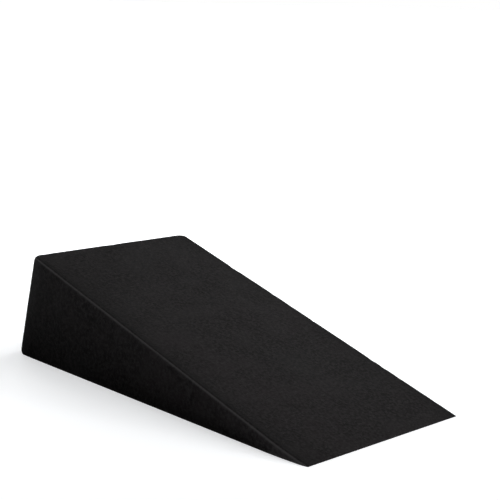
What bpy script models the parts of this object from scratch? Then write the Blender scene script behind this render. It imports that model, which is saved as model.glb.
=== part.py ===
"""Slant board for one foot: a wedge of closed-cell foam with a heat-pressed mark on its tall end.

The wedge is one half of a rounded slab that was sliced corner to corner. It lies on the slice, so the
tall end stands square to the slope and leans over the base, and the slice leaves sharp lower edges.

Frame: +X runs from the tall end to the thin edge, +Y to the left seen from the tall end, +Z up.
The origin is the middle of the base, on the floor.
"""

import math

import bmesh
import bpy
from mathutils import Vector

MM = 0.001

# Driving dimensions of the wedge
BASE_LENGTH = 300 * MM
WIDTH = 142 * MM
SLOPE = math.radians(15.55)
THIN_EDGE = 0.6 * MM  # height of foam left at the thin edge
UPRIGHT_TOP_RADIUS = 7.5 * MM  # the two edges between the tall end and the sides, just under the slope
UPRIGHT_FOOT_RADIUS = 10 * MM  # the same edges at the base
RIM_RADIUS = 2 * MM  # the two long edges between the slope and the sides
BROW_RADIUS = 5 * MM  # the edge between the slope and the tall end
HEEL_RADIUS = 5 * MM  # the edge between the tall end and the base
ARC_STEPS = 7
THIN_STATIONS = 9

# The print is a row of thin white films, each pressed into its own shallow recess in the tall end.
FILM = 0.3 * MM
GAP = 0.3 * MM  # behind each film and all round it
RECESS_DEPTH = FILM + GAP
CUTTER_OVERHANG = 2 * MM
BADGE_SIDE = 32 * MM
BADGE_CORNER = 6 * MM
BADGE_CENTRE = (-41 * MM, 39 * MM)  # across the tall end from its middle, and up from its foot
SLOT_LENGTHS = (8 * MM, 14 * MM, 20 * MM)  # the cut-outs in the badge, top to bottom
SLOT_HEIGHT = 3 * MM
SLOT_PITCH = 7.5 * MM
BAR_COUNT = 6
BAR_WIDTH = 8 * MM
BAR_PITCH = 13 * MM
BAR_CORNER = 1.8 * MM
FIRST_BAR_ACROSS = -11 * MM
BAR_FOOT = 31 * MM
BAR_HEIGHTS = (5 * MM, 18 * MM)  # the first bar's and the last bar's
CORNER_STEPS = 6

# Worked out from the driving dimensions: what the rounding and the slice take off the sharp triangle
HEEL_TRIM = HEEL_RADIUS * (1 + math.sin(SLOPE) - math.cos(SLOPE)) / math.cos(SLOPE)
THIN_TRIM = THIN_EDGE / math.tan(SLOPE)
TALL_FACE = (HEEL_TRIM + BASE_LENGTH + THIN_TRIM) * math.sin(SLOPE)
UPHILL = Vector((-math.cos(SLOPE), 0, math.sin(SLOPE)))  # also the tall end's outward normal
OUT_OF_SLOPE = Vector((math.sin(SLOPE), 0, math.cos(SLOPE)))  # also the way up the tall end
LEFT = Vector((0, 1, 0))
UP = Vector((0, 0, 1))
FOOT_OF_TALL_END = Vector((-BASE_LENGTH / 2 - HEEL_TRIM, 0, 0))
TOP_OF_TALL_END = FOOT_OF_TALL_END + OUT_OF_SLOPE * TALL_FACE


def clear_scene():
    for obj in list(bpy.data.objects):
        bpy.data.objects.remove(obj)


def material(name, colour, roughness, metallic=0.0):
    """A plain Principled material."""
    made = bpy.data.materials.new(name)
    made.use_nodes = True
    shader = made.node_tree.nodes["Principled BSDF"]
    shader.inputs["Base Color"].default_value = (*colour, 1)
    shader.inputs["Roughness"].default_value = roughness
    shader.inputs["Metallic"].default_value = metallic
    return made


def object_from(bm, name, finish=None):
    """Turns a bmesh into a named object, shaded smooth across its rounded edges."""
    bmesh.ops.recalc_face_normals(bm, faces=bm.faces)
    mesh = bpy.data.meshes.new(name)
    bm.to_mesh(mesh)
    bm.free()
    mesh.shade_smooth()
    mesh.set_sharp_from_angle(angle=math.radians(30))
    obj = bpy.data.objects.new(name, mesh)
    bpy.context.scene.collection.objects.link(obj)
    if finish is not None:
        obj.data.materials.append(finish)
    return obj


def quarter_turn(start, end, steps):
    """Unit vectors that turn from start to end."""
    angle = start.angle(end)
    for step in range(steps + 1):
        share = step / steps
        yield (start * math.sin((1 - share) * angle) + end * math.sin(share * angle)) / math.sin(angle)


# ---------------------------------------------------------------- the foam wedge


def tall_corner_points(side):
    """Points round one upright edge: its rounding under the slope and its rounding above the base."""
    outward = LEFT * side
    top, foot = (
        TOP_OF_TALL_END - UPHILL * radius + outward * (WIDTH / 2 - radius)
        for radius in (UPRIGHT_TOP_RADIUS, UPRIGHT_FOOT_RADIUS)
    )
    for wall in quarter_turn(UPHILL, outward, ARC_STEPS):
        facing = wall.dot(UPHILL)  # 1 on the tall end, 0 on the side
        brow = RIM_RADIUS + (BROW_RADIUS - RIM_RADIUS) * facing**2
        centre = top + wall * (UPRIGHT_TOP_RADIUS - brow) - OUT_OF_SLOPE * brow
        for turned in quarter_turn(wall, OUT_OF_SLOPE, ARC_STEPS):
            yield centre + turned * brow
        heel = HEEL_RADIUS * facing  # fades to the sharp edge along the side
        centre = foot + wall * (UPRIGHT_FOOT_RADIUS - heel)
        centre -= OUT_OF_SLOPE * ((centre.z - heel) / OUT_OF_SLOPE.z)
        for turned in quarter_turn(wall, -UP, ARC_STEPS):
            yield centre + turned * heel


def long_edge_points(side):
    """Points of the rounding between slope and side, where it runs out into the base at the thin edge."""
    outward = LEFT * side
    apex = Vector((BASE_LENGTH / 2 + THIN_TRIM, 0, 0)) + outward * (WIDTH / 2 - RIM_RADIUS)
    run_out = RIM_RADIUS / math.tan(SLOPE)
    for station in range(THIN_STATIONS + 1):
        centre = apex + UPHILL * (run_out * station / THIN_STATIONS) - OUT_OF_SLOPE * RIM_RADIUS
        arc = [centre + turned * RIM_RADIUS for turned in quarter_turn(outward, OUT_OF_SLOPE, ARC_STEPS)]
        for lower, upper in zip(arc, arc[1:]):
            if lower.z < 0 < upper.z:
                yield lower.lerp(upper, lower.z / (lower.z - upper.z))
        yield from (point for point in arc if point.z >= 0)


def foam_wedge(finish):
    """The convex solid round those points, sliced off square at the thin edge."""
    bm = bmesh.new()
    for side in (-1, 1):
        for point in (*tall_corner_points(side), *long_edge_points(side)):
            bm.verts.new(point)
    bmesh.ops.remove_doubles(bm, verts=bm.verts, dist=0.02 * MM)
    hull = bmesh.ops.convex_hull(bm, input=bm.verts)
    loose = {*hull["geom_interior"], *hull["geom_unused"]}
    bmesh.ops.delete(bm, geom=[g for g in loose if isinstance(g, bmesh.types.BMVert)], context="VERTS")
    thin_edge = Vector((BASE_LENGTH / 2, 0, 0))
    everything = [*bm.verts, *bm.edges, *bm.faces]
    cut = bmesh.ops.bisect_plane(
        bm, geom=everything, plane_co=thin_edge, plane_no=(1, 0, 0), clear_outer=True
    )
    rim = [g for g in cut["geom_cut"] if isinstance(g, bmesh.types.BMEdge)]
    bmesh.ops.contextual_create(bm, geom=rim)
    flat = math.radians(0.05)
    bmesh.ops.dissolve_limit(bm, angle_limit=flat, verts=bm.verts, edges=bm.edges)
    return object_from(bm, "foam_wedge", finish)


# ---------------------------------------------------------------- the print on the tall end


def on_tall_end(across, up, out=0.0):
    """A place on the tall end, seen from behind: across to the right of its middle and up from its foot."""
    return FOOT_OF_TALL_END - LEFT * across + OUT_OF_SLOPE * up + UPHILL * out


def rounded_outline(width, height, corner):
    """The corner points of a rectangle with round corners, round its middle."""
    for turn in range(4):
        cx = (width / 2 - corner) * (1 if turn in (0, 3) else -1)
        cy = (height / 2 - corner) * (1 if turn in (0, 1) else -1)
        for step in range(CORNER_STEPS + 1):
            angle = math.radians(90) * (turn + step / CORNER_STEPS)
            yield cx + corner * math.cos(angle), cy + corner * math.sin(angle)


def add_plate(bm, centre, size, corner, bottom, top):
    """Adds a rounded plate that stands on the tall end between two heights out of its surface."""
    ring = [
        bm.verts.new(on_tall_end(centre[0] + across, centre[1] + up, bottom))
        for across, up in rounded_outline(*size, corner)
    ]
    face = bm.faces.new(ring)
    raised = bmesh.ops.extrude_face_region(bm, geom=[face])["geom"]
    lifted = [g for g in raised if isinstance(g, bmesh.types.BMVert)]
    bmesh.ops.translate(bm, verts=lifted, vec=UPHILL * (top - bottom))


def badge_slots():
    """Centre and size of each cut-out in the badge."""
    for row, length in enumerate(SLOT_LENGTHS):
        up = BADGE_CENTRE[1] + SLOT_PITCH * (1 - row)
        yield (BADGE_CENTRE[0], up), (length, SLOT_HEIGHT)


def bars():
    """Centre and size of each bar of the rising row."""
    for index in range(BAR_COUNT):
        share = index / (BAR_COUNT - 1)
        height = BAR_HEIGHTS[0] + (BAR_HEIGHTS[1] - BAR_HEIGHTS[0]) * share
        across = FIRST_BAR_ACROSS + BAR_PITCH * index
        yield (across, BAR_FOOT + height / 2), (BAR_WIDTH, height)


def boolean_cut(target, cutter):
    """Cuts a hidden helper out of the target."""
    cutter.hide_render = True
    cutter.display_type = "WIRE"
    modifier = target.modifiers.new("cut_" + cutter.name, "BOOLEAN")
    modifier.operation = "DIFFERENCE"
    modifier.object = cutter


def print_recesses():
    """One cutter that sinks a recess under every film."""
    bm = bmesh.new()
    shapes = [(BADGE_CENTRE, (BADGE_SIDE, BADGE_SIDE), BADGE_CORNER)]
    shapes += [(centre, size, BAR_CORNER) for centre, size in bars()]
    for centre, size, corner in shapes:
        wider = tuple(length + 2 * GAP for length in size)
        add_plate(bm, centre, wider, corner + GAP, -RECESS_DEPTH, CUTTER_OVERHANG)
    return object_from(bm, "print_recesses")


def print_badge(finish):
    """The square film, with three slots through it."""
    bm = bmesh.new()
    add_plate(bm, BADGE_CENTRE, (BADGE_SIDE, BADGE_SIDE), BADGE_CORNER, -FILM, 0)
    badge = object_from(bm, "print_badge", finish)
    bm = bmesh.new()
    for centre, size in badge_slots():
        corner = SLOT_HEIGHT * 0.45
        add_plate(bm, centre, size, corner, -FILM - CUTTER_OVERHANG, CUTTER_OVERHANG)
    boolean_cut(badge, object_from(bm, "badge_slots"))
    return badge


def print_bars(finish):
    """The rising row of small films."""
    for number, (centre, size) in enumerate(bars(), start=1):
        bm = bmesh.new()
        add_plate(bm, centre, size, BAR_CORNER, -FILM, 0)
        object_from(bm, f"print_bar_{number}", finish)


def main():
    clear_scene()
    foam = material("black_foam", (0.012, 0.012, 0.013), roughness=0.9)
    ink = material("white_print", (0.85, 0.85, 0.84), roughness=0.6)
    wedge = foam_wedge(foam)
    boolean_cut(wedge, print_recesses())
    print_badge(ink)
    print_bars(ink)


main()
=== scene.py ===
"""Foam slant board: detailed foam skin, heat-pressed print and a plain pale studio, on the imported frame."""

import math

import bmesh
import bpy
import numpy as np
from mathutils import Matrix, Vector
from mathutils.geometry import delaunay_2d_cdt


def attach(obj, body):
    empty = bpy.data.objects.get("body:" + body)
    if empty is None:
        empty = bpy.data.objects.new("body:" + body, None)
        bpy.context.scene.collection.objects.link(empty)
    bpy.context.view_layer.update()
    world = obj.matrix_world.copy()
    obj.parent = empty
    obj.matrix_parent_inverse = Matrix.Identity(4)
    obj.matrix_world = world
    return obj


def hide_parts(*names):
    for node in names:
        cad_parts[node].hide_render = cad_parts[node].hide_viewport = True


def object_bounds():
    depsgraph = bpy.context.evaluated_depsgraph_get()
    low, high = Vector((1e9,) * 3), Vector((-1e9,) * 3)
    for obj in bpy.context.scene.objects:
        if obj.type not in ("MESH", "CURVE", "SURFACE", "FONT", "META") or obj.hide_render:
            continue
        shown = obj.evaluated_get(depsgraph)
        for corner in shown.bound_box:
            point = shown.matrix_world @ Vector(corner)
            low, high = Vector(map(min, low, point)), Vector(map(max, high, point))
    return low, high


MM = 0.001

# The wedge, as in the CAD model: a rounded slab, sliced by the floor.
SLOPE = math.radians(15.55)
THIN_EDGE = 0.6 * MM
UPRIGHT_TOP_RADIUS = 7.5 * MM
UPRIGHT_FOOT_RADIUS = 10 * MM
RIM_RADIUS = 2 * MM
BROW_RADIUS = 5 * MM
HEEL_RADIUS = 5 * MM

# One corner of the thin edge is drawn in by this much, over this length. The CAD model's is square.
NIPPED_CORNER = 2.2 * MM
NIPPED_LENGTH = 35 * MM

# The print, as in the CAD model: a badge with three slots and a rising row of bars. Each shape is its
# middle, its width and height, and its corner radius. Middles are across the tall end, to the right seen
# from behind, and up from its foot.
BADGE = ((-41 * MM, 39 * MM), (32 * MM, 32 * MM), 6 * MM)
SLOTS = [((-41 * MM, (46.5 - 7.5 * row) * MM), ((8 + 6 * row) * MM, 3 * MM), 1.35 * MM) for row in range(3)]
BARS = [
    (((-11 + 13 * i) * MM, (31 + 2.5 + 1.3 * i) * MM), (8 * MM, (5 + 2.6 * i) * MM), 1.8 * MM)
    for i in range(6)
]
FILM_PROUD = 0.12 * MM
FILM_DEPTH = 0.25 * MM

# The foam skin's mesh: steps on the open faces, and finer ones beside the edges
PLAIN_STEP = 1.3 * MM
FINE_STEP = 0.6 * MM
FINE_REACH = 12 * MM

# The studio: how far the dark card reaches past the tall end and past the thin edge, and the floor's glow
TALL_CARD = 230 * MM
THIN_CARD = -9 * MM
FLOOR_GLOW = 0.508

UPHILL = np.array([-math.cos(SLOPE), 0.0, math.sin(SLOPE)])
OUT = np.array([math.sin(SLOPE), 0.0, math.cos(SLOPE)])  # out of the slope
LEFT = np.array([0.0, 1.0, 0.0])
UP = np.array([0.0, 0.0, 1.0])

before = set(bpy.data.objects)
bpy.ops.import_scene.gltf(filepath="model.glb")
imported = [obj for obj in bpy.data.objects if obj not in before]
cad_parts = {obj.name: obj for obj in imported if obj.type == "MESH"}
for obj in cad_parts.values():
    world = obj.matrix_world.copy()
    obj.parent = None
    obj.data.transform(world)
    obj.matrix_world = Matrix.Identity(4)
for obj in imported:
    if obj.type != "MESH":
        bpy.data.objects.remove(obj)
cad_low, cad_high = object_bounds()

HALF_WIDTH = cad_high.y
THIN_X = cad_high.x
HEEL_TRIM = HEEL_RADIUS * (1 + math.sin(SLOPE) - math.cos(SLOPE)) / math.cos(SLOPE)
APEX = np.array([THIN_X + THIN_EDGE / math.tan(SLOPE), 0.0, 0.0])
FOOT = np.array([cad_low.x - HEEL_TRIM, 0.0, 0.0])
SLOPE_LENGTH = (APEX[0] - FOOT[0]) * math.cos(SLOPE)
TALL = (APEX[0] - FOOT[0]) * math.sin(SLOPE)


# ------------------------------------------------------------------ smooth noise for the foam's shape


def lattice_noise(points, size, seed):
    """Smooth noise between about -1 and 1 at each point, with features about as large as size."""
    cells = points / size
    base = np.floor(cells).astype(np.int64)
    part = cells - base
    part = part * part * (3 - 2 * part)
    total = np.zeros(len(points))
    for corner in range(8):
        step = np.array([corner & 1, corner >> 1 & 1, corner >> 2 & 1])
        key = ((base + step) * np.array([73856093, 19349663, 83492791])).sum(axis=1) + seed * 2654435
        key = (key ^ (key >> 13)) * 1274126177 & 0x7FFFFFFF
        key = (key ^ (key >> 15)) & 0xFFFF
        value = key / 32767.5 - 1
        weight = np.where(step == 1, part, 1 - part).prod(axis=1)
        total += value * weight
    return total


def smoothstep(low, high, value):
    share = np.clip((value - low) / (high - low), 0, 1)
    return share * share * (3 - 2 * share)


# ------------------------------------------------------------------ the foam skin


def stations(length, both_ends):
    """Distances along a side: fine steps near the end, or near both ends, and plain steps between."""
    end = length - FINE_REACH + np.arange(round(FINE_REACH / FINE_STEP) + 1) * FINE_STEP
    start = length - end[::-1] if both_ends else np.array([0.0])
    middle = np.linspace(start[-1], end[0], round((end[0] - start[-1]) / PLAIN_STEP) + 1)
    return np.concatenate([start[:-1], middle, end[1:]])


def rolled_in(depth, radius):
    """How far a rolled edge of this radius has drawn in at each depth below the slope."""
    left = np.clip(radius - depth, 0, radius)
    return radius - np.sqrt(radius**2 - left**2)


def nipped(s, near_side):
    """How far the near side is drawn in, at each distance s up the slope from the thin edge."""
    return NIPPED_CORNER * np.clip(1 - s / NIPPED_LENGTH, 0, 1) ** 2 * near_side


def slab_points(along, across, depth):
    """Rounded slab: along runs up the slope from the thin apex, across from the middle, depth into it."""
    brow = rolled_in(depth, BROW_RADIUS)
    rim = rolled_in(depth, RIM_RADIUS)
    upright = UPRIGHT_TOP_RADIUS + (UPRIGHT_FOOT_RADIUS - UPRIGHT_TOP_RADIUS) * np.clip(depth / TALL, 0, 1)
    long_reach, side_reach = upright - brow, upright - rim
    long_start = SLOPE_LENGTH - upright
    side_start = HALF_WIDTH - upright
    s = along * (SLOPE_LENGTH - brow)
    y = across * (HALF_WIDTH - rim - nipped(s, across < 0))
    # The square corner of the plan is turned into a round one.
    ds = np.maximum(s - long_start, 0) / long_reach
    dy = np.maximum(np.abs(y) - side_start, 0) / side_reach
    shrink = np.maximum(ds, dy) / np.maximum(np.hypot(ds, dy), 1e-9)
    s = np.where(ds > 0, long_start + ds * shrink * long_reach, s)
    y = np.where(dy > 0, np.sign(y) * (side_start + dy * shrink * side_reach), y)
    return APEX + s[:, None] * UPHILL + y[:, None] * LEFT - depth[:, None] * OUT


def slab_mesh():
    """The slab's top and its walls as one open mesh, fine near its edges. It reaches below the floor."""
    s = stations(SLOPE_LENGTH, False) / SLOPE_LENGTH
    y = stations(2 * HALF_WIDTH, True) / HALF_WIDTH - 1
    arc = RIM_RADIUS * (1 - np.cos(np.linspace(0, math.pi / 2, 9)))
    brow = np.linspace(RIM_RADIUS, BROW_RADIUS, 4)
    low_start = TALL - 8 * MM
    wall = np.linspace(BROW_RADIUS, low_start, round((low_start - BROW_RADIUS) / PLAIN_STEP) + 1)
    low = np.linspace(low_start, TALL + 3.2 * MM, 28)
    d = np.concatenate([arc[:-1], brow[:-1], wall[:-1], low])
    ni, nj, nk = len(s) - 1, len(y) - 1, len(d) - 1
    number = {}

    def vertex(i, j, k):
        return number.setdefault((i, j, k), len(number))

    faces = []
    for i in range(ni):
        for j in range(nj):
            faces.append((vertex(i, j, 0), vertex(i + 1, j, 0), vertex(i + 1, j + 1, 0), vertex(i, j + 1, 0)))
    for k in range(nk):
        for j in range(nj):
            faces.append(
                (vertex(ni, j, k), vertex(ni, j, k + 1), vertex(ni, j + 1, k + 1), vertex(ni, j + 1, k))
            )
        for i in range(ni):
            for j in (0, nj):
                quad = (vertex(i, j, k), vertex(i, j, k + 1), vertex(i + 1, j, k + 1), vertex(i + 1, j, k))
                faces.append(quad if j == 0 else quad[::-1])
    keys = np.array(list(number))
    points = slab_points(s[keys[:, 0]], y[keys[:, 1]], d[keys[:, 2]])
    return points, faces


def slice_off(bm, place, normal):
    """Cuts away what is beyond a plane. Gives back the edges round the open cut."""
    everything = [*bm.verts, *bm.edges, *bm.faces]
    cut = bmesh.ops.bisect_plane(bm, geom=everything, plane_co=place, plane_no=normal, clear_outer=True)
    return [g for g in cut["geom_cut"] if isinstance(g, bmesh.types.BMEdge)]


def round_heel(points):
    """Rolls the edge between the tall end and the floor, fading out round the two upright edges."""
    side = np.clip((np.abs(points[:, 1]) - (HALF_WIDTH - UPRIGHT_FOOT_RADIUS)) / UPRIGHT_FOOT_RADIUS, 0, 1)
    facing = np.sqrt(1 - side**2)  # 1 on the tall end, 0 on the sides
    normal = facing[:, None] * UPHILL + (side * np.sign(points[:, 1]))[:, None] * LEFT
    axis = (SLOPE_LENGTH - UPRIGHT_FOOT_RADIUS) * UPHILL + APEX
    axis = axis + (np.sign(points[:, 1]) * (HALF_WIDTH - UPRIGHT_FOOT_RADIUS) * (side > 0))[:, None] * LEFT
    axis[:, 1] = np.where(side > 0, axis[:, 1], points[:, 1])
    wall = axis + UPRIGHT_FOOT_RADIUS * normal
    corner = wall - (wall[:, 2] / OUT[2])[:, None] * OUT
    radius = HEEL_RADIUS * facing + 0.3 * MM
    lean = normal[:, 2]
    centre = corner + (radius / (1 - lean))[:, None] * (UP - normal)
    offset = points - centre
    # The offset's shares along the wall's normal and straight down
    n_part = (offset * normal).sum(axis=1)
    z_part = -offset[:, 2]
    det = 1 - lean**2
    a = (n_part + lean * z_part) / det
    b = (z_part + lean * n_part) / det
    flat = a[:, None] * normal - b[:, None] * UP
    size = np.maximum(np.linalg.norm(flat, axis=1), 1e-9)
    near = (a > 0) & (b > 0) & (points[:, 0] < FOOT[0] + 15 * MM)
    rolled = points - flat + flat * (radius / size)[:, None]
    return np.where(near[:, None], rolled, points)


def foam_relief(points, normals):
    """How far the hand-cut, handled surface stands in or out, away from the floor."""
    swell = 0.16 * MM * lattice_noise(points, 47 * MM, 1) + 0.06 * MM * lattice_noise(points, 17 * MM, 2)
    grain = 0.025 * MM * lattice_noise(points, 4.3 * MM, 3)
    sideways = np.abs(normals[:, 1])
    tall = np.maximum(normals @ UPHILL, 0)
    knife = points * np.array([1 / (2.6 * MM), 0, 1 / (70 * MM)])
    knife = lattice_noise(knife, 1, 4) * sideways
    band = points * np.array([0, 1 / (70 * MM), 1 / (2.6 * MM)])
    band = lattice_noise(band, 1, 5) * tall
    relief = swell + grain + 0.02 * MM * (knife + band)
    above = smoothstep(0.2 * MM, 3 * MM, points[:, 2])
    return relief * above * (normals[:, 2] > -0.5)


def dents(points):
    """How far small knocks along the edges and on the slope set the surface in."""
    made = np.zeros(len(points))
    rng = np.random.default_rng(7)
    rim = HALF_WIDTH - 1.2 * MM
    spots = []  # Each one's place, its least and most reach, and its depth, all three in millimetres
    for _ in range(16):
        up = rng.uniform(0.03, 0.97) * SLOPE_LENGTH
        spots.append((APEX + UPHILL * up + LEFT * rim * rng.choice([-1, 1]) - OUT * 1.0 * MM, 1.2, 3.2, 0.3))
    for _ in range(7):
        y = rng.uniform(-0.9, 0.9) * HALF_WIDTH
        spots.append((APEX + UPHILL * (SLOPE_LENGTH - 1 * MM) + LEFT * y - OUT * 1.0 * MM, 1.2, 3.0, 0.28))
    for _ in range(14):
        up, y = rng.uniform(0.08, 0.95) * SLOPE_LENGTH, rng.uniform(-0.85, 0.85) * HALF_WIDTH
        spots.append((APEX + UPHILL * up + LEFT * y, 2.0, 7.0, 0.12))
    for place, small, large, deep in spots:
        reach = rng.uniform(small, large) * MM
        depth = rng.uniform(0.4, 1.0) * deep * MM
        gap = np.linalg.norm(points - place, axis=1)
        made -= depth * np.exp(-((gap / reach) ** 2))
    return made


def gap_to(shape, across, up):
    """Signed distance to the outline of a rectangle with round corners, negative inside it."""
    (middle_across, middle_up), (width, height), corner = shape
    a = np.abs(across - middle_across) - (width / 2 - corner)
    b = np.abs(up - middle_up) - (height / 2 - corner)
    outside = np.hypot(np.maximum(a, 0), np.maximum(b, 0))
    return outside + np.minimum(np.maximum(a, b), 0) - corner


def pressed(points):
    """The shallow dip that the hot press left in the foam under and round each film."""
    across = -points[:, 1]
    up = (points - FOOT) @ OUT
    near = np.minimum.reduce([gap_to(shape, across, up) for shape in (BADGE, *BARS)])
    on_tall = (points - FOOT) @ UPHILL > -1.5 * MM
    return -0.10 * MM * smoothstep(1.6 * MM, -0.4 * MM, near) * on_tall


def edge_wear_and_painted_light(points):
    """1 on rubbed edges and painted highlights, 0 on open faces, below 0 in painted shade beside the long
    rims.
    """
    along = (points - APEX) @ UPHILL
    depth = -(points - APEX) @ OUT
    to_side = HALF_WIDTH - nipped(along, points[:, 1] < 0) - np.abs(points[:, 1])
    to_tall = SLOPE_LENGTH - along
    to_floor = points[:, 2]

    def meet(a, b, reach):
        return 1 - smoothstep(0.35 * reach, reach, np.hypot(np.maximum(a, 0), np.maximum(b, 0)))

    # The paler line, partly wear and partly a painted highlight, lies a little below the middle of the long
    # rims' rounding.
    rim = np.exp(-((np.hypot(depth - 0.8 * MM, to_side - 0.4 * MM) / (0.85 * MM)) ** 2))
    brow = 0.6 * meet(depth, to_tall, 3.2 * MM)
    upright = 0.5 * meet(to_side, to_tall, 5.5 * MM)
    # A painted highlight pales the sides beside the uprights, more so low down.
    painted_highlight_beside_uprights = (1 - smoothstep(6 * MM, 19 * MM, to_tall)) * (1 - smoothstep(2 * MM, 6 * MM, to_side))
    painted_highlight_beside_uprights = painted_highlight_beside_uprights * (0.22 + 0.18 * smoothstep(0, TALL, depth))
    low = 0.4 * np.maximum(meet(to_floor, to_side, 1.5 * MM), meet(to_floor, to_tall, 3 * MM))
    worn_and_painted_highlight = np.maximum.reduce([rim, brow, upright, painted_highlight_beside_uprights, low])
    # Painted shade: a dark line just inside the long rims and a wider darkening of the slope towards them.
    painted_shade_beside_rims = np.exp(-(((to_side - 2.1 * MM) / (2.0 * MM)) ** 2)) + 0.5 * np.exp(-((to_side / (17 * MM)) ** 2))
    return worn_and_painted_highlight - (1 - worn_and_painted_highlight) * np.minimum(painted_shade_beside_rims, 1) * (depth < 1 * MM)


def mesh_coordinates(mesh, kind="co"):
    data = np.empty(len(mesh.vertices) * 3, dtype=np.float32)
    mesh.vertices.foreach_get(kind, data)
    return data.reshape(-1, 3).astype(np.float64)


def foam_skin():
    """The wedge as one closed dense mesh with rolled edges, faint swells, cut marks and small knocks."""
    points, faces = slab_mesh()
    mesh = bpy.data.meshes.new("foam_skin")
    mesh.from_pydata(points.tolist(), [], faces)
    bm = bmesh.new()
    bm.from_mesh(mesh)
    floor_rim = slice_off(bm, (0, 0, 0), (0, 0, -1))
    bmesh.ops.contextual_create(bm, geom=floor_rim)
    thin_rim = slice_off(bm, (THIN_X, 0, 0), (1, 0, 0))
    bmesh.ops.contextual_create(bm, geom=thin_rim)
    # Extra lines across the base give the rolled heel something to bend.
    for step in (0.5, 1, 1.6, 2.3, 3.1, 4, 5, 6.2):
        place = (FOOT[0] + step * MM, 0, 0)
        low = [f for f in bm.faces if f.normal.z < -0.9 or f.calc_center_median().z < 1e-6]
        geom = {*low, *(e for f in low for e in f.edges), *(v for f in low for v in f.verts)}
        bmesh.ops.bisect_plane(bm, geom=list(geom), plane_co=place, plane_no=(1, 0, 0))
    bmesh.ops.remove_doubles(bm, verts=bm.verts, dist=0.02 * MM)
    bmesh.ops.dissolve_degenerate(bm, dist=0.02 * MM, edges=bm.edges)
    bmesh.ops.recalc_face_normals(bm, faces=bm.faces)
    bm.to_mesh(mesh)
    bm.free()

    points = round_heel(mesh_coordinates(mesh))
    mesh.vertices.foreach_set("co", points.astype(np.float32).ravel())
    mesh.update()
    normals = mesh_coordinates(mesh, "normal")
    relief = foam_relief(points, normals)
    knocks = dents(points) * smoothstep(0.5 * MM, 3 * MM, points[:, 2])
    # The mask holds real edge wear together with painted highlights and painted shade.
    wear_and_painted_light = edge_wear_and_painted_light(points)
    points = points + normals * (relief + knocks + pressed(points))[:, None]
    points[:, 2] = np.maximum(points[:, 2], 0)
    mesh.vertices.foreach_set("co", points.astype(np.float32).ravel())
    layer = mesh.attributes.new("wear_and_painted_light", "FLOAT", "POINT")
    layer.data.foreach_set("value", wear_and_painted_light.astype(np.float32))
    mesh.shade_smooth()
    mesh.set_sharp_from_angle(angle=math.radians(42))
    mesh.update()
    skin = bpy.data.objects.new("foam_skin", mesh)
    bpy.context.scene.collection.objects.link(skin)
    return skin


# ------------------------------------------------------------------ the printed films


def outline(shape, step, grown=0.0):
    """Points round a rectangle with round corners, moved out by grown."""
    (middle_across, middle_up), (width, height), corner = shape
    radius = corner + grown
    arc = np.linspace(0, math.pi / 2, max(4, round(radius * math.pi / 2 / step)))
    ring = []
    for turn in range(4):
        cx = (width / 2 - corner) * (1 if turn in (0, 3) else -1)
        cy = (height / 2 - corner) * (1 if turn in (0, 1) else -1)
        angle = arc + turn * math.pi / 2
        ring.append(np.stack([cx + radius * np.cos(angle), cy + radius * np.sin(angle)], axis=1))
    ring = np.concatenate(ring)
    filled = []
    for start, end in zip(ring, np.roll(ring, -1, axis=0)):
        count = max(1, round(np.linalg.norm(end - start) / step))
        filled.append(start + (end - start) * np.arange(count)[:, None] / count)
    return np.concatenate(filled) + np.array([middle_across, middle_up])


def film_inset(shape, holes, places):
    """How far inside the film's edge each place is."""
    inside = -gap_to(shape, places[:, 0], places[:, 1])
    for hole in holes:
        inside = np.minimum(inside, gap_to(hole, places[:, 0], places[:, 1]))
    return inside


def film_plan(shape, holes):
    """A flat triangle mesh of the film, with each point's distance inside the film's edge."""
    points, edges = [], []
    step, inner = 0.35 * MM, 0.2 * MM
    for ring in [outline(shape, step)] + [outline(hole, step) for hole in holes]:
        first = len(points)
        points += ring.tolist()
        edges += [(first + i, first + (i + 1) % len(ring)) for i in range(len(ring))]
    for ring in [outline(shape, step, -inner)] + [outline(hole, step, inner) for hole in holes]:
        points += ring.tolist()
    (middle_across, middle_up), (width, height), _ = shape
    a = np.arange(-width / 2, width / 2, 0.7 * MM) + middle_across
    b = np.arange(-height / 2, height / 2, 0.7 * MM) + middle_up
    grid = np.stack(np.meshgrid(a, b), axis=-1).reshape(-1, 2)
    points += grid[film_inset(shape, holes, grid) > 0.5 * MM].tolist()
    flat = [Vector(point) for point in points]
    made, _, triangles, *_ = delaunay_2d_cdt(flat, edges, [], 0, 1e-7)
    made = np.array([tuple(point) for point in made])
    triangles = np.array(triangles)
    centres = made[triangles].mean(axis=1)
    triangles = triangles[film_inset(shape, holes, centres) > 0]
    return made, triangles, film_inset(shape, holes, made)


def on_tall_end(plan):
    """Points on the flat tall end, from their places across it and up it."""
    return FOOT - plan[:, :1] * LEFT + plan[:, 1:] * OUT


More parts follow.
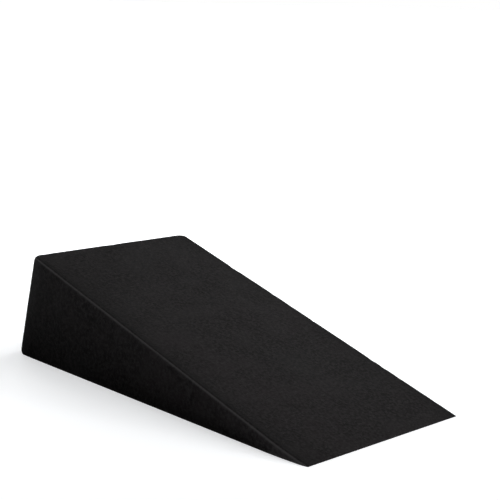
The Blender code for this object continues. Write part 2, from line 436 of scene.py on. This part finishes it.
def film_piece(name, shape, holes=()):
    """A thin closed film that lies on the foam's relief, with a softened and slightly ragged edge."""
    plan, triangles, inset = film_plan(shape, holes)
    count = len(plan)
    # The very edge is a little ragged, towards and away from the shape's middle.
    ragged = 0.05 * MM * lattice_noise(on_tall_end(plan), 0.9 * MM, 11) * (inset < 0.05 * MM)
    out_of_middle = plan - np.array(shape[0])
    out_of_middle /= np.linalg.norm(out_of_middle, axis=1)[:, None] + 1e-9
    flat = on_tall_end(plan + out_of_middle * ragged[:, None])
    facing = np.tile(UPHILL, (count, 1))
    lie = foam_relief(flat, facing) + dents(flat)
    top = flat + UPHILL * (lie + FILM_PROUD * (0.45 + 0.55 * smoothstep(0, 0.2 * MM, inset)))[:, None]
    bottom = flat + UPHILL * (lie - FILM_DEPTH)[:, None]
    triangles = triangles.tolist()
    faces = [tuple(triangle) for triangle in triangles]
    faces += [tuple(i + count for i in triangle[::-1]) for triangle in triangles]
    # A dict, unlike a set, keeps the order, so every run builds the same mesh.
    sides = dict.fromkeys(side for a, b, c in triangles for side in ((a, b), (b, c), (c, a)))
    rim = [(a, b) for a, b in sides if (b, a) not in sides]
    faces += [(b, a, a + count, b + count) for a, b in rim]
    mesh = bpy.data.meshes.new(name)
    mesh.from_pydata(np.concatenate([top, bottom]).tolist(), [], faces)
    bm = bmesh.new()
    bm.from_mesh(mesh)
    loose = [v for v in bm.verts if not v.link_faces]
    bmesh.ops.delete(bm, geom=loose, context="VERTS")
    bmesh.ops.recalc_face_normals(bm, faces=bm.faces)
    bm.to_mesh(mesh)
    bm.free()
    mesh.shade_smooth()
    mesh.set_sharp_from_angle(angle=math.radians(40))
    film = bpy.data.objects.new(name, mesh)
    bpy.context.scene.collection.objects.link(film)
    return film


# ------------------------------------------------------------------ materials


class Nodes:
    """Short names for building a material's node tree."""

    def __init__(self, name):
        self.material = bpy.data.materials.new(name)
        self.material.use_nodes = True
        self.tree = self.material.node_tree
        self.shader = self.tree.nodes["Principled BSDF"]

    def add(self, kind, **settings):
        """Adds a node. Each setting is one of the node's properties or the value of an input."""
        node = self.tree.nodes.new(kind)
        for name, value in settings.items():
            if name in node.bl_rna.properties:
                setattr(node, name, value)
            else:
                node.inputs[name.replace("_", " ")].default_value = value
        return node

    def link(self, output, target):
        self.tree.links.new(output, target)

    def coordinates(self, scale):
        """Object coordinates in millimetres, stretched by scale."""
        source = self.add("ShaderNodeTexCoord")
        mapping = self.add("ShaderNodeMapping")
        mapping.inputs["Scale"].default_value = [1000 * s for s in scale]
        self.link(source.outputs["Object"], mapping.inputs["Vector"])
        return mapping.outputs["Vector"]

    def noise(self, scale, where=(1, 1, 1), detail=2.0, rough=0.5):
        """Noise with features about 1 / scale millimetres across."""
        node = self.add("ShaderNodeTexNoise", Scale=scale, Detail=detail, Roughness=rough)
        self.link(self.coordinates(where), node.inputs["Vector"])
        return node.outputs["Fac"]

    def cells(self, scale):
        """Distance to the middle of the nearest of many cells, each about 1 / scale millimetres across."""
        node = self.add("ShaderNodeTexVoronoi", Scale=scale)
        self.link(self.coordinates((1, 1, 1)), node.inputs["Vector"])
        return node.outputs["Distance"]

    def spread(self, value, low, high, to_low, to_high):
        """Maps a value's range from low to high onto another range, and holds it there beyond."""
        node = self.add("ShaderNodeMapRange")
        for name, number in zip(("From Min", "From Max", "To Min", "To Max"), (low, high, to_low, to_high)):
            node.inputs[name].default_value = number
        self.link(value, node.inputs["Value"])
        return node.outputs["Result"]

    def math(self, operation, first, second):
        node = self.add("ShaderNodeMath", operation=operation)
        for slot, value in enumerate((first, second)):
            if isinstance(value, (int, float)):
                node.inputs[slot].default_value = value
            else:
                self.link(value, node.inputs[slot])
        return node.outputs[0]

    def mix(self, share, first, second):
        node = self.add("ShaderNodeMix", data_type="RGBA")
        self.link(share, node.inputs[0])
        for socket, value in ((node.inputs[6], first), (node.inputs[7], second)):
            if isinstance(value, tuple):
                socket.default_value = (*value, 1)
            else:
                self.link(value, socket)
        return node.outputs[2]

    def bump(self, height, distance, strength=1.0, under=None):
        node = self.add("ShaderNodeBump", Strength=strength, Distance=distance)
        self.link(height, node.inputs["Height"])
        if under is not None:
            self.link(under, node.inputs["Normal"])
        return node.outputs["Normal"]


def foam_material():
    """Black closed-cell foam: open cut cells, cloudy colour, cut streaks, paler worn edges, painted
    highlights and shade by the edges, and dust.
    """
    n = Nodes("black_foam_look")
    fine = n.cells(2.6)
    coarse = n.cells(1.1)
    cloud = n.noise(0.036, detail=3)
    blotch = n.noise(0.16, detail=2)
    speckle = n.noise(0.5, detail=4, rough=0.7)
    wear_and_painted_light = n.add("ShaderNodeAttribute", attribute_name="wear_and_painted_light").outputs["Fac"]

    # Colour: cloudy black, paler in the worn edges and painted highlights, darker in painted shade beside the
    # long rims, with a little pale dust caught in open cells
    tone = n.spread(cloud, 0.38, 0.62, 0.0, 0.55)
    tone = n.math("ADD", tone, n.spread(blotch, 0.38, 0.62, 0.0, 0.45))
    tint = n.spread(n.noise(0.009, detail=1), 0.4, 0.6, 0.0, 1.0)
    light = n.mix(tint, (0.0140, 0.0139, 0.0142), (0.0163, 0.0135, 0.0146))
    base = n.mix(tone, (0.0052, 0.0047, 0.0049), light)
    grainy = n.mix(n.spread(speckle, 0.42, 0.62, 0.0, 1.0), base, (0.0224, 0.0206, 0.0212))
    dust = n.math("MULTIPLY", n.spread(n.noise(0.75, detail=1), 0.70, 0.80, 0.0, 1.0), 0.25)
    dusty = n.mix(dust, grainy, (0.09, 0.088, 0.085))
    # A share below 0 counts as 0, so each of these two acts on one side of the mask's zero: the first paints
    # shade beside the long rims, the second pales the worn edges and paints the highlights.
    shaded = n.mix(n.math("MULTIPLY", wear_and_painted_light, -0.6), dusty, (0.005, 0.005, 0.005))
    worn_and_painted_highlight = n.mix(n.math("MULTIPLY", wear_and_painted_light, 0.65), shaded, (0.074, 0.072, 0.072))
    n.link(worn_and_painted_highlight, n.shader.inputs["Base Color"])

    # Roughness: matt, a little smoother where edges were rubbed
    rough = n.spread(blotch, 0.3, 0.7, 0.78, 0.9)
    rough = n.math("SUBTRACT", rough, n.math("MULTIPLY", n.math("MAXIMUM", wear_and_painted_light, 0.0), 0.36))
    n.link(rough, n.shader.inputs["Roughness"])

    # Relief: cloudy swells under cut cells under fine grain
    sides = n.noise(0.5, where=(1, 1, 0.04), detail=2)
    swell = n.bump(n.noise(0.12, detail=2), 0.10 * MM, strength=0.5)
    streak = n.bump(sides, 0.12 * MM, strength=0.7, under=swell)
    pits = n.bump(n.spread(coarse, 0.0, 0.6, 0.0, 1.0), 0.16 * MM, strength=0.6, under=streak)
    cells = n.bump(n.spread(fine, 0.0, 0.5, 0.0, 1.0), 0.06 * MM, strength=0.6, under=pits)
    n.link(cells, n.shader.inputs["Normal"])
    n.shader.inputs["Specular IOR Level"].default_value = 0.07
    n.shader.inputs["Sheen Weight"].default_value = 0.03
    n.shader.inputs["Sheen Roughness"].default_value = 0.4
    return n.material


def print_material():
    """White heat-pressed film: satin, with the foam's cells telegraphing through and a few pinholes."""
    n = Nodes("white_print_look")
    through = n.cells(1.1)
    cloud = n.noise(0.12, detail=3)
    pin = n.cells(0.55)
    hole = n.math("MULTIPLY", n.spread(pin, 0.05, 0.13, 1.0, 0.0), n.spread(cloud, 0.5, 0.6, 0.0, 0.8))
    white = n.mix(n.spread(cloud, 0.3, 0.7, 0.0, 1.0), (0.80, 0.80, 0.79), (0.88, 0.88, 0.87))
    spotted = n.mix(hole, white, (0.22, 0.22, 0.215))
    n.link(spotted, n.shader.inputs["Base Color"])
    n.link(n.spread(cloud, 0.3, 0.7, 0.48, 0.6), n.shader.inputs["Roughness"])
    relief = n.bump(n.spread(through, 0.0, 0.6, 0.0, 1.0), 0.05 * MM, strength=0.4)
    n.link(relief, n.shader.inputs["Normal"])
    n.shader.inputs["Specular IOR Level"].default_value = 0.4
    return n.material


# ------------------------------------------------------------------ pieces


skin = foam_skin()
skin.data.materials.append(foam_material())
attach(skin, "root")
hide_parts("foam_wedge")

film_look = print_material()
films = {"print_badge": film_piece("badge_film", BADGE, SLOTS)}
for number, bar in enumerate(BARS, start=1):
    films[f"print_bar_{number}"] = film_piece(f"bar_film_{number}", bar)
for node_name, film in films.items():
    film.data.materials.append(film_look)
    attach(film, "root")
    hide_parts(node_name)


# ------------------------------------------------------------------ studio


def area_light(name, place, target, size, power):
    """A rectangular softbox aimed at a point."""
    data = bpy.data.lights.new(name, "AREA")
    data.shape = "RECTANGLE"
    data.size, data.size_y = size
    data.energy = power
    lamp = bpy.data.objects.new(name, data)
    lamp.location = place
    lamp.rotation_mode = "QUATERNION"
    lamp.rotation_quaternion = (Vector(target) - Vector(place)).to_track_quat("-Z", "Y")
    bpy.context.scene.collection.objects.link(lamp)


def plain_card(name, corners, shade):
    """A flat matt card that isn't part of the object. Gives back its material's nodes."""
    mesh = bpy.data.meshes.new(name)
    mesh.from_pydata(corners, [], [tuple(range(len(corners)))])
    card = bpy.data.objects.new(name, mesh)
    bpy.context.scene.collection.objects.link(card)
    n = Nodes(name)
    n.shader.inputs["Base Color"].default_value = (*shade, 1)
    n.shader.inputs["Roughness"].default_value = 1.0
    n.shader.inputs["Specular IOR Level"].default_value = 0.0
    card.data.materials.append(n.material)
    return card, n


def studio_floor():
    """A pale, faintly glowing floor out to the horizon, like a light table. It glows more further out."""
    far, height = 200, -0.1 * MM
    corners = [(-far, -far, height), (far, -far, height), (far, far, height), (-far, far, height)]
    _, n = plain_card("studio_floor", corners, (0.79, 0.80, 0.81))
    place = n.add("ShaderNodeTexCoord").outputs["Object"]
    distance = n.add("ShaderNodeVectorMath", operation="DISTANCE")
    distance.inputs[1].default_value = (-0.03, -0.12, 0)
    n.link(place, distance.inputs[0])
    glow = n.spread(distance.outputs["Value"], 0.12, 0.8, FLOOR_GLOW, FLOOR_GLOW + 0.19)
    n.shader.inputs["Emission Color"].default_value = (0.98, 0.988, 1.0, 1)
    n.link(glow, n.shader.inputs["Emission Strength"])


def dark_card():
    """Unseen, it keeps the floor's light off the lower part of the sides. It is wide at the tall end."""
    tall, thin, height = cad_low.x - TALL_CARD, cad_high.x + THIN_CARD, -0.05 * MM
    at_tall, at_thin = cad_high.y + TALL_CARD, cad_high.y + THIN_CARD
    corners = [(tall, -at_tall, height), (thin, -at_thin, height), (thin, at_thin, height)]
    card, _ = plain_card("dark_card", corners + [(tall, at_tall, height)], (0.02, 0.02, 0.02))
    card.visible_camera = False
    card.visible_shadow = False


def pale_world():
    """White behind everything. It lights nothing: the lamps do."""
    world = bpy.data.worlds.new("pale_world")
    world.use_nodes = True
    tree = world.node_tree
    background = tree.nodes["Background"]
    background.inputs["Color"].default_value = (1, 1, 1, 1)
    path = tree.nodes.new("ShaderNodeLightPath")
    tree.links.new(path.outputs["Is Camera Ray"], background.inputs["Strength"])
    bpy.context.scene.world = world


def soft_sun(name, direction, strength, angle):
    """An even distant light, from a direction towards it. Its light passes the unseen card."""
    data = bpy.data.lights.new(name, "SUN")
    data.energy = strength
    data.angle = math.radians(angle)
    data.cycles.use_multiple_importance_sampling = False
    lamp = bpy.data.objects.new(name, data)
    lamp.rotation_mode = "QUATERNION"
    lamp.rotation_quaternion = Vector(direction).to_track_quat("Z", "Y")
    bpy.context.scene.collection.objects.link(lamp)


def photo_camera():
    """Stands in front of the thin edge's right-hand corner, a little above the wedge."""
    heading, pitch, roll = math.radians(136.431), math.radians(11.462), math.radians(1.49)
    flat = math.cos(pitch)
    look = Vector((math.cos(heading) * flat, math.sin(heading) * flat, -math.sin(pitch)))
    data = bpy.data.cameras.new("photo_camera")
    data.sensor_width = 36
    data.lens = 87.72
    camera = bpy.data.objects.new("photo_camera", data)
    turn = look.to_track_quat("-Z", "Y").to_matrix() @ Matrix.Rotation(roll, 3, "Z")
    camera.matrix_world = Matrix.Translation((0.60303, -0.54971, 0.25991)) @ turn.to_4x4()
    bpy.context.scene.collection.objects.link(camera)
    bpy.context.scene.camera = camera


studio_floor()
dark_card()
pale_world()
soft_sun("overhead", (0.62, 0.47, 1.0), 1.45, 66)
soft_sun("sky_dome", (0, 0, 1), 0.22, 180)
area_light("far_softbox", (-0.05, 0.34, 0.34), (-0.02, 0.02, 0.04), (0.36, 0.25), 0.93)
area_light("edge_softbox", (-0.52, -0.46, 0.98), (0, -0.05, 0.04), (0.35, 0.35), 1.3)
area_light("left_softbox", (-0.8, 0.25, 0.13), (-0.14, 0, 0.04), (0.35, 0.25), 4.0)
photo_camera()
bpy.context.scene.view_settings.view_transform = "Standard"
